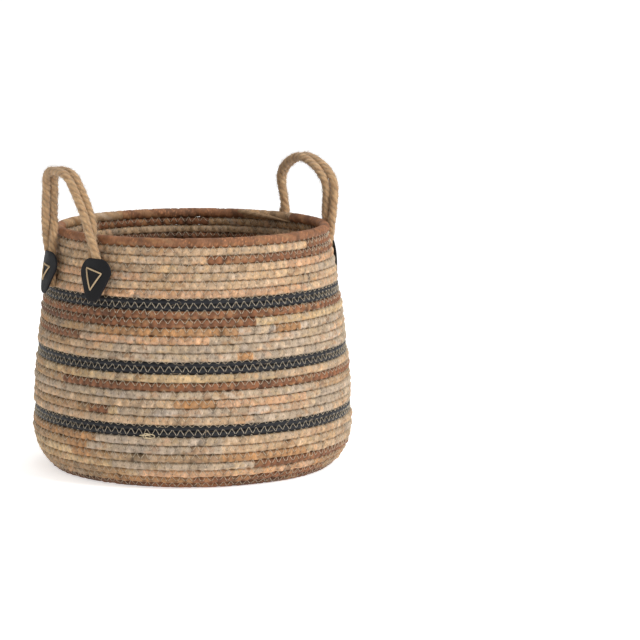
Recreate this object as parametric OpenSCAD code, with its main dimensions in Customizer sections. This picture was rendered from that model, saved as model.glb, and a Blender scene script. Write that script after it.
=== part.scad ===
// Coiled rope laundry basket with two jute rope handles.
// Millimetres, +Z up. The origin is on the floor under the middle of the base.
// The handles stand at -X (left) and +X (right).

/* [Basket body] */
// Height of the basket body, floor to the top of the rim
body_h = 325; // [300:5:350]
// Outer diameter at the widest place
belly_d = 432; // [410:2:450]
// Height of the widest place above the floor
belly_z = 60; // [50:5:75]
// Outer diameter of the lowest course
base_d = 386; // [370:2:400]
// Outer diameter of the rim
rim_d = 370; // [350:2:390]

/* [Coil rope] */
// Thickness of the natural rope
rope_d = 11; // [10:0.5:12]
// Thickness of the black stripe rope
stripe_d = 8; // [7:0.5:9]
// Thickness of the rim rope
rim_rope_d = 13; // [12:0.5:14]
// Width of the sewing thread as it lies in a groove
thread_d = 1.2; // [0.8:0.1:1.4]

/* [Handles] */
// Thickness of one jute cord, two of which make a handle
cord_d = 10.4; // [9:0.2:11]
// Angle from the middle of a handle to each of its legs, at the rim
leg_angle = 16.2; // [14:0.1:19]
// Height of a handle loop above its hinge line
loop_h = 78.5; // [70:0.5:95]
// Distance from the basket's axis to the top of the left loop
left_crown_u = 202; // [180:1:204]
// Distance from the basket's axis to the top of the right loop
right_crown_u = 182; // [180:1:204]

/* [Leather patches] */
// Width of a patch
patch_w = 50; // [46:1:56]
// Height of a patch
patch_h = 57; // [52:1:62]
// Thickness of the leather
patch_t = 2.6; // [2:0.1:3.2]
// Height of a patch's middle above the floor
patch_z = 267; // [262:1:272]
// Angle from the middle of a pair of patches to each patch
patch_angle = 15; // [13:0.5:17]
// Angle by which a pair of patches sits further round the wall than its handle loop
patch_turn = 5.5; // [0:0.5:9]

/* [Hidden] */
$fn = 64;
slit = 0.04;
web_share = 0.4;

// Courses from the floor up: thickness of each turn of rope on the wall.
natural_low = 7;
natural_mid = 6;
wall_ropes = concat(
    [for (i = [1:natural_low]) rope_d],
    [stripe_d, stripe_d],
    [for (i = [1:natural_mid]) rope_d],
    [stripe_d, stripe_d],
    [for (i = [1:natural_mid]) rope_d],
    [stripe_d, stripe_d],
    [for (i = [1:natural_mid]) rope_d],
    [rim_rope_d]
);
course_count = len(wall_ropes);

// Centre line of the wall: it swells out to the belly, then leans in to the rim.
base_z = rope_d / 2;
base_r = base_d / 2 - rope_d / 2;
belly_r = belly_d / 2 - rope_d / 2;
rim_z = body_h - rim_rope_d / 2;
rim_r = rim_d / 2 - rim_rope_d / 2;
function wall_r(z) = z < belly_z
    ? belly_r - (belly_r - base_r) * pow(max(0, (belly_z - z) / (belly_z - base_z)), 2.6)
    : belly_r - (belly_r - rim_r) * pow((z - belly_z) / (rim_z - belly_z), 1.75);
function wall_len(z) = let (h = 0.5) norm([wall_r(z + h) - wall_r(z), h]) / h;
function climb(z, d) = let (m = z + d / 2 / wall_len(z)) z + d / wall_len(m);

// Height of every course. The ropes are squeezed by one common factor so that the rim ends
// at the body height.
function sum_to(list, n) = n < 0 ? 0 : list[n] + sum_to(list, n - 1);
function arc_to_rim(z, step) = z >= rim_z ? 0 : step * wall_len(z) + arc_to_rim(z + step, step);
rope_sum = sum_to(wall_ropes, course_count - 1) - (rope_d + rim_rope_d) / 2;
squeeze = arc_to_rim(base_z, 1) / rope_sum;
function course_z(n) = n == 0
    ? base_z
    : climb(course_z(n - 1), squeeze * (wall_ropes[n - 1] + wall_ropes[n]) / 2);
zs = [for (n = [0:course_count - 1]) course_z(n)];
rs = [for (z = zs) wall_r(z)];
ds = [for (d = wall_ropes) squeeze * d];

// First course of each run of rope on the wall.
run_low = 0;
stripe_low = run_low + natural_low;
run_lower_mid = stripe_low + 2;
stripe_mid = run_lower_mid + natural_mid;
run_upper_mid = stripe_mid + 2;
stripe_high = run_upper_mid + natural_mid;
run_high = stripe_high + 2;
rim_course = run_high + natural_mid;

// Base rings, inwards from the wall.
base_drop = 0.5;
base_ring_count = floor((rs[0] - rope_d * 0.6) / rope_d);
base_rs = [for (k = [1:base_ring_count]) rs[0] - k * rope_d];
base_c = rope_d / 2 - base_drop;

// Outside of the wall at any height.
function outer_r(z) = wall_r(z) + rope_d / 2;

// Handle geometry, in the handle's own frame: u outwards, v along the rim, w up.
cord_r = cord_d / 2;
pair = cord_r + 0.3;
hinge_z = body_h + 2;
hinge_gap = 5.6;
leg_low_z = patch_z - patch_h * 0.3;
leg_low_r = outer_r(leg_low_z) + cord_r + 0.6;
leg_top_r = rim_d / 2 + cord_r + 5.3;

// How far a pair of cords has turned from side by side along the rim (0) towards one outside the
// other (90), at the hinge line, and how soon it gets to 90 above it.
left_twist = 60;
left_fast = 2.5;
right_twist = 30;
right_fast = 0.5;
twist_low_z = patch_z + patch_h * 0.4;

// Place of a cord beside the pair's middle: side +1 is the cord away from the loop's middle.
function beside(side, twist) = [side * pair * sin(twist), side * pair * cos(twist)];

// A cord of a leg at a height below the hinge line. m is 1 for the leg towards +v and -1 for the
// leg towards -v. The leg slants from its patch to the foot of its loop.
function leg_share(z) = (z - leg_low_z) / (hinge_z - leg_low_z);
function leg_azimuth(m, z) =
    let (e = pow(leg_share(z), 1.5))
    m * leg_angle * e + (m * patch_angle + patch_turn) * (1 - e);
function leg_twist(z, twist) = twist * max(0, (z - twist_low_z) / (hinge_z - twist_low_z));
function leg_cord(m, side, z, twist) =
    let (
        b = beside(side, leg_twist(z, twist)),
        r = leg_low_r + (leg_top_r - leg_low_r) * leg_share(z) + b[0],
        a = leg_azimuth(m, z)
    )
    [r * cos(a) - m * b[1] * sin(a), r * sin(a) + m * b[1] * cos(a), z];

// The loop above the hinge line. t runs from 0 at the front leg to 180 at the back leg.
loop_u = leg_top_r * cos(leg_angle);
loop_v = leg_top_r * sin(leg_angle);
function loop_twist(t, twist, fast) = twist + (90 - twist) * pow(sin(t), 1 / fast);
function loop_mid(t, crown_u, swell, point) =
    let (c = cos(t), s = sin(t), side = c < 0 ? 1 : -1)
    [
        loop_u + (crown_u - loop_u) * pow(s, 1.5),
        side * (loop_v + swell * pow(sin(2 * t), 2)) * pow(abs(c), point),
        hinge_z + loop_h * s
    ];
// Outward normal of the loop within its own plane.
function loop_normal(t, crown_u, swell, point) =
    let (
        a = loop_mid(max(0.5, t - 2), crown_u, swell, point),
        b = loop_mid(min(179.5, t + 2), crown_u, swell, point),
        d = [b[1] - a[1], b[2] - a[2]] / norm([b[1] - a[1], b[2] - a[2]])
    )
    [0, -d[1], d[0]];
function loop_cord(side, t, crown_u, swell, point, twist, fast) =
    let (
        m = loop_mid(t, crown_u, swell, point),
        n = loop_normal(t, crown_u, swell, point),
        a = loop_twist(t, twist, fast)
    )
    m + side * pair * (n * cos(a) + [sin(a), 0, 0]);

loop_start = asin(hinge_gap / loop_h);
ring_count = 30;
ring_sides = 12;
function loop_path(side, crown_u, swell, point, twist, fast) = [
    for (i = [0:ring_count])
        let (e = i / ring_count, t = loop_start + (180 - 2 * loop_start) * e)
        loop_cord(side, t, crown_u, swell, point, twist, fast)
];
leg_rings = 12;
function leg_path(m, side, twist) = [
    for (i = [0:leg_rings])
        leg_cord(m, side, leg_low_z + (hinge_z - hinge_gap - leg_low_z) * i / leg_rings, twist)
];

husk = [0.76, 0.62, 0.44];
husk_brown = [0.50, 0.32, 0.20];
black_rope = [0.13, 0.13, 0.14];
jute = [0.72, 0.55, 0.36];
leather = [0.07, 0.07, 0.08];
thread = [0.85, 0.78, 0.64];

// Section of neighbouring courses sewn to each other, from one course to another.
module run_section(first, last) {
    for (n = [first:last])
        translate([rs[n], zs[n]])
            circle(d = ds[n] - slit);
    if (last > first)
        for (n = [first:last - 1])
            translate([rs[n], zs[n]])
                rotate(atan2(zs[n + 1] - zs[n], rs[n + 1] - rs[n]))
                    translate([0, -ds[n] * web_share / 2])
                        square([norm([rs[n + 1] - rs[n], zs[n + 1] - zs[n]]), ds[n] * web_share]);
}

// One run of rope, coiled up the wall and sewn to itself.
module wall_run(first, last, paint) {
    color(paint)
        rotate_extrude()
            run_section(first, last);
}

// Flat spiral of the base, with the turns pressed flat on the floor side.
module base_coil() {
    color(husk)
        rotate_extrude()
            intersection() {
                union() {
                    for (r = base_rs)
                        translate([r, base_c])
                            circle(d = rope_d - slit);
                    translate([base_rs[base_ring_count - 1], base_c - rope_d * web_share / 2])
                        square([base_rs[0] - base_rs[base_ring_count - 1], rope_d * web_share]);
                    translate([0, 0.4])
                        square([base_rs[base_ring_count - 1] - rope_d * 0.35, rope_d - 1.6]);
                    square([rope_d * 0.35, rope_d - 2]);
                }
                square([base_r + rope_d, rope_d * 2]);
            }
}

// Thread loops in the grooves between the base turns, on the upper or the lower face.
module base_thread(up) {
    color(thread)
        for (k = [1:base_ring_count - 1])
            rotate_extrude()
                translate([(base_rs[k - 1] + base_rs[k]) / 2, base_c + up * rope_d * 0.27])
                    square(thread_d, center = true);
}

// Thread loops in the grooves of the wall, on the outer or the inner face.
module wall_thread(out) {
    color(thread)
        for (n = [0:course_count - 2])
            let (
                a = atan2(zs[n + 1] - zs[n], rs[n + 1] - rs[n]),
                share = ds[n] / (ds[n] + ds[n + 1]),
                lift = min(ds[n], ds[n + 1]) * 0.28,
                r = rs[n] + (rs[n + 1] - rs[n]) * share + out * lift * sin(a),
                z = zs[n] + (zs[n + 1] - zs[n]) * share - out * lift * cos(a)
            )
            rotate_extrude()
                translate([r, z])
                    rotate(a)
                        square(thread_d, center = true);
}

// Tapered tail of the rope under the rim, lying against the inside of the wall.
module rim_rope_tail() {
    tail_r = rim_r - rim_rope_d / 2 - 2;
    color(husk)
        rotate([0, 0, 7])
            rotate_extrude(angle = 22)
                translate([tail_r, rim_z - 3])
                    circle(d = 5);
}

// Skin of a rope through a list of points: rings joined by triangles, with closed ends.
module sweep(path, radius) {
    n = len(path);
    points = [
        for (i = [0:n - 1])
            let (
                a = path[max(0, i - 1)],
                b = path[min(n - 1, i + 1)],
                d = (b - a) / norm(b - a),
                s0 = cross(d, [1, 0.15, 0]),
                s = s0 / norm(s0),
                c = cross(d, s),
                r = (i == 0 || i == n - 1) ? radius * 0.7 : radius
            )
            for (k = [0:ring_sides - 1])
                path[i] + r * (s * cos(360 * k / ring_sides) + c * sin(360 * k / ring_sides))
    ];
    sides = [
        for (i = [0:n - 2])
            for (k = [0:ring_sides - 1])
                let (
                    p = i * ring_sides + k,
                    q = i * ring_sides + (k + 1) % ring_sides
                )
                each [[p, q + ring_sides, q], [p, p + ring_sides, q + ring_sides]]
    ];
    ends = [
        [for (k = [0:ring_sides - 1]) k],
        [for (k = [0:ring_sides - 1]) n * ring_sides - 1 - k]
    ];
    polyhedron(points, concat(sides, ends));
}

// Handles are drawn for +X, and turned half round for -X.
module on_side(left) {
    rotate([0, 0, left ? 180 : 0])
        children();
}

// One cord of a moving handle loop.
module loop_of(left, side) {
    crown = left ? left_crown_u : right_crown_u;
    swell = left ? -8.6 : 19;
    point = left ? 0.65 : 0.9;
    twist = left ? left_twist : right_twist;
    fast = left ? left_fast : right_fast;
    color(jute)
        on_side(left)
            sweep(loop_path(side, crown, swell, point, twist, fast), cord_r);
}

// Straight round bar between two points, with bevelled ends.
module bar(p, q, r, bevel) {
    d = q - p;
    l = norm(d);
    translate(p)
        rotate([0, acos(d[2] / l), atan2(d[1], d[0])]) {
            translate([0, 0, bevel])
                cylinder(h = l - 2 * bevel, r = r);
            cylinder(h = bevel, r1 = r * 0.6, r2 = r);
            translate([0, 0, l - bevel])
                cylinder(h = bevel, r1 = r, r2 = r * 0.6);
        }
}

// The two cord ends of one leg, sewn under a patch. The front leg is the one towards -Y.
function leg_sign(left, front) = (left ? -1 : 1) * (front ? -1 : 1);
module leg_cords(left, front) {
    color(jute)
        on_side(left)
            for (side = [-1, 1])
                sweep(leg_path(leg_sign(left, front), side, left ? left_twist : right_twist), cord_r);
}

// Frame of a patch: x out of the wall, y along it, z up it.
patch_lean = atan((outer_r(patch_z - 20) - outer_r(patch_z + 20)) / 40);
module at_patch(left, front) {
    on_side(left)
        rotate([0, 0, leg_sign(left, front) * patch_angle + patch_turn])
            translate([outer_r(patch_z), 0, patch_z])
                rotate([0, -patch_lean, 0])
                    children();
}

// Outline of a patch: two round shoulders, a softly arched top and a narrower round foot.
shoulder_r = patch_w * 0.3;
foot_r = patch_w * 0.28;
shoulder_x = patch_w / 2 - shoulder_r;
shoulder_y = patch_h / 2 - shoulder_r - patch_h * 0.05;
foot_y = -patch_h / 2 + foot_r;
side_len = norm([shoulder_x, shoulder_y - foot_y]);
side_a = atan2(shoulder_y - foot_y, shoulder_x) - acos((foot_r - shoulder_r) / side_len);
patch_outline = concat(
    [for (i = [0:9]) let (a = side_a + (90 - side_a) * i / 9)
        [shoulder_x + shoulder_r * cos(a), shoulder_y + shoulder_r * sin(a)
            + patch_h * 0.05 * max(0, sin(a)) * (1 - pow(abs(shoulder_x + shoulder_r * cos(a)) * 2 / patch_w, 2))]],
    [for (i = [0:9]) let (a = 90 + (90 - side_a) * i / 9)
        [-shoulder_x + shoulder_r * cos(a), shoulder_y + shoulder_r * sin(a)
            + patch_h * 0.05 * max(0, sin(a)) * (1 - pow(abs(-shoulder_x + shoulder_r * cos(a)) * 2 / patch_w, 2))]],
    [for (i = [0:10]) let (a = 180 - side_a + (180 + 2 * side_a) * i / 10)
        [foot_r * cos(a), foot_y + foot_r * sin(a)]]
);

// Leather patch, bent gently round the cords.
bend_r = 100;
patch_gap = cord_d + 1.9;
module patch(left, front) {
    color(leather)
        at_patch(left, front)
            intersection() {
                rotate([90, 0, 90])
                    linear_extrude(height = patch_gap + patch_t + 10)
                        polygon(patch_outline);
                translate([patch_gap - bend_r, 0, -patch_h])
                    difference() {
                        cylinder(h = 2 * patch_h, r = bend_r + patch_t, $fn = 128);
                        translate([0, 0, -1])
                            cylinder(h = 2 * patch_h + 2, r = bend_r, $fn = 128);
                    }
            }
}

// Thick thread sewn three times through patch, cords and wall: a triangle on both faces.
stitch_r = 1;
stitch_w = 27;
stitch_h = 27;
stitch_corners = [[-stitch_w / 2, stitch_h / 2 - 1], [stitch_w / 2, stitch_h / 2 - 1], [0, -stitch_h / 2 - 1]];
module patch_stitch(left, front) {
    out_x = patch_gap + patch_t + 0.4;
    in_x = -rope_d - 0.6;
    color(thread)
        at_patch(left, front) {
            for (i = [0:2])
                let (
                    a = stitch_corners[i],
                    b = stitch_corners[(i + 1) % 3],
                    da = bend_r - sqrt(bend_r * bend_r - a[0] * a[0]),
                    db = bend_r - sqrt(bend_r * bend_r - b[0] * b[0])
                ) {
                    bar([out_x - da, a[0], a[1]], [out_x - db, b[0], b[1]], stitch_r, 0.3);
                    bar([in_x, a[0], a[1]], [in_x, b[0], b[1]], stitch_r, 0.3);
                    translate([in_x, a[0], a[1]])
                        rotate([0, 90, 0])
                            cylinder(h = out_x - da - in_x, r = stitch_r * 0.8);
                }
            for (c = stitch_corners)
                let (dc = bend_r - sqrt(bend_r * bend_r - c[0] * c[0])) {
                    translate([out_x - dc, c[0], c[1]])
                        sphere(r = stitch_r * 1.15);
                    translate([in_x, c[0], c[1]])
                        sphere(r = stitch_r * 1.15);
                }
        }
}

base_coil();
base_thread(1);  // base_top_thread
base_thread(-1);  // base_bottom_thread
wall_run(run_low, stripe_low - 1, husk);  // lower_wall_coil
wall_run(stripe_low, run_lower_mid - 1, black_rope);  // lower_black_stripe_coil
wall_run(run_lower_mid, stripe_mid - 1, husk);  // lower_middle_wall_coil
wall_run(stripe_mid, run_upper_mid - 1, black_rope);  // middle_black_stripe_coil
wall_run(run_upper_mid, stripe_high - 1, husk);  // upper_middle_wall_coil
wall_run(stripe_high, run_high - 1, black_rope);  // upper_black_stripe_coil
wall_run(run_high, rim_course - 1, husk);  // upper_wall_coil
wall_run(rim_course, rim_course, husk_brown);  // rim_coil
rim_rope_tail();
wall_thread(1);  // wall_outer_thread
wall_thread(-1);  // wall_inner_thread
loop_of(true, 1);  // left_handle_outer_cord
loop_of(true, -1);  // left_handle_inner_cord
loop_of(false, 1);  // right_handle_outer_cord
loop_of(false, -1);  // right_handle_inner_cord
leg_cords(true, true);  // left_front_leg_cords
leg_cords(true, false);  // left_back_leg_cords
leg_cords(false, true);  // right_front_leg_cords
leg_cords(false, false);  // right_back_leg_cords
patch(true, true);  // left_front_patch
patch(true, false);  // left_back_patch
patch(false, true);  // right_front_patch
patch(false, false);  // right_back_patch
patch_stitch(true, true);  // left_front_patch_stitch
patch_stitch(true, false);  // left_back_patch_stitch
patch_stitch(false, true);  // right_front_patch_stitch
patch_stitch(false, false);  // right_back_patch_stitch
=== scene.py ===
"""Looks of the coiled rope laundry basket: husk rope, zigzag stitches, jute handles and leather patches."""
import math
from functools import partial

import bpy
import numpy as np
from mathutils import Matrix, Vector


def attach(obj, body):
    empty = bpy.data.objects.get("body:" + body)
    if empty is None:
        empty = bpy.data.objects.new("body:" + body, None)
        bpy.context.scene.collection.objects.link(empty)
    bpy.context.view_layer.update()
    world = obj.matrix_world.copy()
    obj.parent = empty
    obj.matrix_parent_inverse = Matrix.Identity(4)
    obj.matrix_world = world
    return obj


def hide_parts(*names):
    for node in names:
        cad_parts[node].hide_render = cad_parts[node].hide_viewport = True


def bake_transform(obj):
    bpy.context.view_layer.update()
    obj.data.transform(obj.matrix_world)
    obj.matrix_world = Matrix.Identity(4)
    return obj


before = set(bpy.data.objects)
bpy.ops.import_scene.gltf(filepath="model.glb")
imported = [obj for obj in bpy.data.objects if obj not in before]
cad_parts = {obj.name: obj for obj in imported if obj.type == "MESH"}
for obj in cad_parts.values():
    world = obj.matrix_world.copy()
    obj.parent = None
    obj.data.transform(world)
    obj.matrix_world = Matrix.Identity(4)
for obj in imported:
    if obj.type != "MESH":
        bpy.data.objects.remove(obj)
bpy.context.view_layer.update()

MM = 0.001
TAU = 2 * math.pi

# ---------------------------------------------------------------- sizes, as in the CAD (mm)
BODY_H, BELLY_D, BELLY_Z, BASE_D, RIM_D = 325.0, 432.0, 60.0, 386.0, 370.0
ROPE, STRIPE, RIM_ROPE = 11.0, 8.0, 13.0
NATURAL_LOW, NATURAL_MID = 7, 6
CORD_R, LEG_ANGLE, LOOP_H = 5.2, math.radians(16.2), 78.5
PATCH_ANGLE, PATCH_TURN = math.radians(15), math.radians(5.5)
PAIR = CORD_R + 0.3
HINGE_Z = BODY_H + 2
PATCH_W, PATCH_H, PATCH_T, PATCH_Z = 50.0, 57.0, 2.6, 267.0
BEND_R = 100.0
PATCH_GAP = 2 * CORD_R + 1.9
STITCH_PITCH = 10.9
CAMERA_SIDE = math.radians(-121.8)  # compass angle of the camera, from +X towards +Y
CAMERA_AWAY, CAMERA_HEIGHT = 3.8, 0.760  # metres from the basket's axis, and above the floor
CAMERA_DOWN, CAMERA_ASIDE = 8.51, 2.61  # degrees below level, and to the right of the basket
CAMERA_LENS = 159.15

wall_ropes = [ROPE] * NATURAL_LOW
for _ in range(3):
    wall_ropes += [STRIPE] * 2 + [ROPE] * NATURAL_MID
wall_ropes.append(RIM_ROPE)
COUNT = len(wall_ropes)
RIM = COUNT - 1
BASE_Z, BASE_R = ROPE / 2, BASE_D / 2 - ROPE / 2
BELLY_R = BELLY_D / 2 - ROPE / 2
RIM_Z, RIM_R = BODY_H - RIM_ROPE / 2, RIM_D / 2 - RIM_ROPE / 2


def wall_r(z):
    """Radius of the wall's centre line at a height."""
    if z < BELLY_Z:
        return BELLY_R - (BELLY_R - BASE_R) * max(0, (BELLY_Z - z) / (BELLY_Z - BASE_Z)) ** 2.6
    return BELLY_R - (BELLY_R - RIM_R) * ((z - BELLY_Z) / (RIM_Z - BELLY_Z)) ** 1.75


def wall_len(z, h=0.5):
    """Length of the wall's centre line for each millimetre of height."""
    return math.hypot(wall_r(z + h) - wall_r(z), h) / h


def outer_r(z):
    """Outside radius of the wall at a height."""
    return wall_r(z) + ROPE / 2


def course_places():
    """Radius, height and rope thickness of every course on the wall."""
    z, arc = BASE_Z, 0.0
    while z < RIM_Z:
        arc += wall_len(z)
        z += 1
    squeeze = arc / (sum(wall_ropes) - (ROPE + RIM_ROPE) / 2)
    zs = [BASE_Z]
    for low, high in zip(wall_ropes, wall_ropes[1:]):
        step = squeeze * (low + high) / 2
        middle = zs[-1] + step / 2 / wall_len(zs[-1])
        zs.append(zs[-1] + step / wall_len(middle))
    return np.array([wall_r(z) for z in zs]), np.array(zs), np.array(wall_ropes) * squeeze


RS, ZS, DS = course_places()


# ---------------------------------------------------------------- small tools
def linear(red, green, blue):
    """Linear colour from display values of 0 to 255."""
    c = np.array([red, green, blue]) / 255
    return np.where(c <= 0.04045, c / 12.92, ((c + 0.055) / 1.055) ** 2.4)


def new_object(name, mesh):
    ob = bpy.data.objects.new(name, mesh)
    bpy.context.scene.collection.objects.link(ob)
    return ob


def mesh_from(name, points, faces):
    """Smooth mesh object from points in millimetres and a list of face index arrays of one width each."""
    mesh = bpy.data.meshes.new(name)
    counts = [f.shape[0] for f in faces]
    widths = [f.shape[1] for f in faces]
    loops = np.concatenate([f.ravel() for f in faces]).astype(np.int32)
    totals = np.concatenate([np.full(c, w) for c, w in zip(counts, widths)])
    starts = np.concatenate([[0], np.cumsum(totals)[:-1]]).astype(np.int32)
    mesh.vertices.add(len(points))
    mesh.vertices.foreach_set("co", (np.asarray(points) * MM).astype(np.float32).ravel())
    mesh.loops.add(len(loops))
    mesh.loops.foreach_set("vertex_index", loops)
    mesh.polygons.add(len(totals))
    mesh.polygons.foreach_set("loop_start", starts)
    mesh.update(calc_edges=True)
    mesh.validate()
    mesh.polygons.foreach_set("use_smooth", np.ones(len(mesh.polygons), bool))
    return new_object(name, mesh)


def grid_corners(rows, columns, closed):
    """Row and column of the four corners of each quad over a grid whose columns run round a section.

    The last column is followed by one more, the first again. So is the last row, where the grid is closed.
    """
    i, k = np.meshgrid(np.arange(rows if closed else rows - 1), np.arange(columns), indexing="ij")
    row = np.stack([i, i + 1, i + 1, i], -1).reshape(-1, 4)
    column = np.stack([k, k, k + 1, k + 1], -1).reshape(-1, 4)
    return row, column


def grid_faces(rows, columns, closed, start=0):
    """Quads over a grid of points, row by row, whose columns run round a section."""
    row, column = grid_corners(rows, columns, closed)
    return row % rows * columns + column % columns + start


def end_faces(rows, columns):
    """The two faces that close an open grid of points."""
    first = np.arange(columns)
    return np.stack([first, first[::-1] + (rows - 1) * columns])


def skin(points, a, b, radius, angle):
    """Points round a path with the sideways directions a and b; radius has one row for each path point."""
    outward = a[:, None] * np.cos(angle)[None, :, None] + b[:, None] * np.sin(angle)[None, :, None]
    return points[:, None] + radius[..., None] * outward


def round_section(sides):
    """Angles of the points round a rope's section."""
    return np.arange(sides) * TAU / sides


def set_uv(mesh, values):
    """Place on the rope of each face corner, in mm along it and round it. End faces come last and get 0."""
    place = np.zeros((len(mesh.loops), 2))
    place[:len(values)] = values * MM
    layer = mesh.uv_layers.new(name="rope")
    layer.data.foreach_set("uv", place.astype(np.float32).ravel())


def set_colour(mesh, values):
    """Tone of each point: its colour and, as alpha, the depth of a stitch's dent, which the husk material
    paints as shade, or a cord's painted shade in the grooves between its strands.
    """
    layer = mesh.color_attributes.new("tone", "FLOAT_COLOR", "POINT")
    layer.data.foreach_set("color", np.asarray(values, np.float32).ravel())


def waves(rng, count, low, high, spread=2):
    """A smooth random field over a ring: angle along it, and angle round its section."""
    k = rng.integers(low, high + 1, count)
    m = rng.integers(-spread, spread + 1, count)
    phase = rng.uniform(0, TAU, count)
    size = 1 / np.sqrt(count / 2)

    def field(u, v):
        total = np.zeros(np.broadcast(u, v).shape)
        for a, b, c in zip(k, m, phase):
            total += np.sin(a * u + b * v + c)
        return total * size

    return field


# ---------------------------------------------------------------- colours of the husk
HUSK = {
    "straw": linear(176, 147, 116),
    "peach": linear(181, 142, 109),
    "beige": linear(167, 147, 125),
    "yellow": linear(180, 152, 114),
    "orange": linear(156, 116, 78),
    "tan": linear(152, 122, 90),
    "brown": linear(116, 75, 48),
    "umber": linear(96, 62, 40),
    "rust": linear(128, 86, 57),
    "black": linear(27, 28, 32),
}
# Colours of each course from the rim down, with the angle where one changes to the next. The angles go to
# the right from straight behind the basket (-180) through its front as the camera sees it (0), and round.
COURSE_COLOURS = [
    ("rust", -146, "tan", -98, "rust", 128, "tan", 155, "rust"),
    ("brown", -120, "straw", 54, "brown", 112, "tan", 172, "brown"),
    ("straw", 6, "brown", 84, "peach", 130, "straw"),
    ("umber", -128, "straw", 40, "peach", 100, "straw", 150, "brown"),
    ("peach", -20, "straw", 60, "beige", 120, "tan"),
    ("tan", -75, "straw", 90, "beige"),
    ("straw", -90, "peach", 50, "straw", 120, "brown"),
    ("black",),
    ("black",),
    ("brown", 100, "tan", 140, "brown"),
    ("umber", -60, "brown", 24, "yellow", 95, "tan"),
    ("orange", -70, "tan", -35, "orange", 17, "beige", 32, "orange", 44, "beige"),
    ("brown", -45, "peach", 6, "beige", 70, "straw"),
    ("tan", -50, "straw", -30, "beige", 120, "peach"),
    ("straw", -40, "beige", 16, "orange", 22, "beige", 100, "straw"),
    ("black",),
    ("black",),
    ("tan", -70, "yellow", 30, "straw", 110, "tan"),
    ("brown", -90, "tan", -53, "brown", 120, "umber"),
    ("beige", 50, "tan", 90, "beige"),
    ("straw", -7, "orange", 8, "peach", 44, "beige"),
    ("tan", -39, "brown", -31, "yellow", -27, "beige", 110, "straw"),
    ("straw", 20, "beige", 60, "straw"),
    ("black",),
    ("black",),
    ("orange", -36, "beige", 10, "straw", 80, "peach"),
    ("tan", -50, "orange", -40, "beige", 10, "straw", 70, "beige"),
    ("yellow", -48, "orange", -38, "tan", 10, "orange", 44, "straw", 100, "tan"),
    ("yellow", -30, "beige", 22, "brown", 110, "tan"),
    ("tan", -20, "peach", 50, "orange", 120, "tan"),
    ("tan", -30, "orange", 0, "brown", 60, "tan"),
    ("umber", -20, "brown", 15, "umber"),
]


def stretch_names(course, angle):
    """Index of the husk colour at each compass angle on a course counted from the floor."""
    names = list(HUSK)
    stretches = COURSE_COLOURS[COUNT - 1 - course]
    seen = (np.degrees(angle - CAMERA_SIDE) + 180) % 360 - 180
    which = np.searchsorted(stretches[1::2], seen, side="right")
    return np.array([names.index(name) for name in stretches[::2]])[which]


# ---------------------------------------------------------------- stitches, shared by rope and thread
class Seam:
    """The zigzag between a lower and an upper course: peaks above the seam, feet on the lower course."""

    def __init__(self, index, radius, lower_d, upper_d):
        rng = np.random.default_rng(700 + index)
        self.count = round(TAU * radius / STITCH_PITCH)
        self.step = TAU / self.count
        shift = rng.uniform(0, self.step)
        k = np.arange(self.count)
        self.peaks = shift + (k + rng.normal(0, 0.05, self.count)) * self.step
        self.feet = shift + (k + 0.5 + rng.normal(0, 0.05, self.count)) * self.step
        black = lower_d < ROPE * 0.9
        inside_stripe = black and upper_d < ROPE * 0.9
        rise = 3.6 if inside_stripe else 1.9
        drop = 2.4 if black and not inside_stripe else min(5.4, lower_d * 0.84)
        self.peak_rise = rise + rng.normal(0, 0.25, self.count)
        self.foot_drop = drop + rng.normal(0, 0.3, self.count)


SEAMS = [Seam(n, (RS[n] + RS[n + 1]) / 2, DS[n], DS[n + 1]) for n in range(COUNT - 1)]


def nearest(sorted_angles, u):
    """Signed angle from each u to the nearest of some sorted angles on a circle."""
    ring = np.sort(np.concatenate([sorted_angles - TAU, sorted_angles, sorted_angles + TAU]))
    at = np.clip(np.searchsorted(ring, u), 1, len(ring) - 1)
    below, above = u - ring[at - 1], ring[at] - u
    return np.where(below < above, below, -above), np.where(below < above, at - 1, at) % len(sorted_angles)


# ---------------------------------------------------------------- one turn of rope
WALL_KEY, BASE_KEY, CURL_KEY = 100, 300, 390  # first random seeds of the turns


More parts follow.
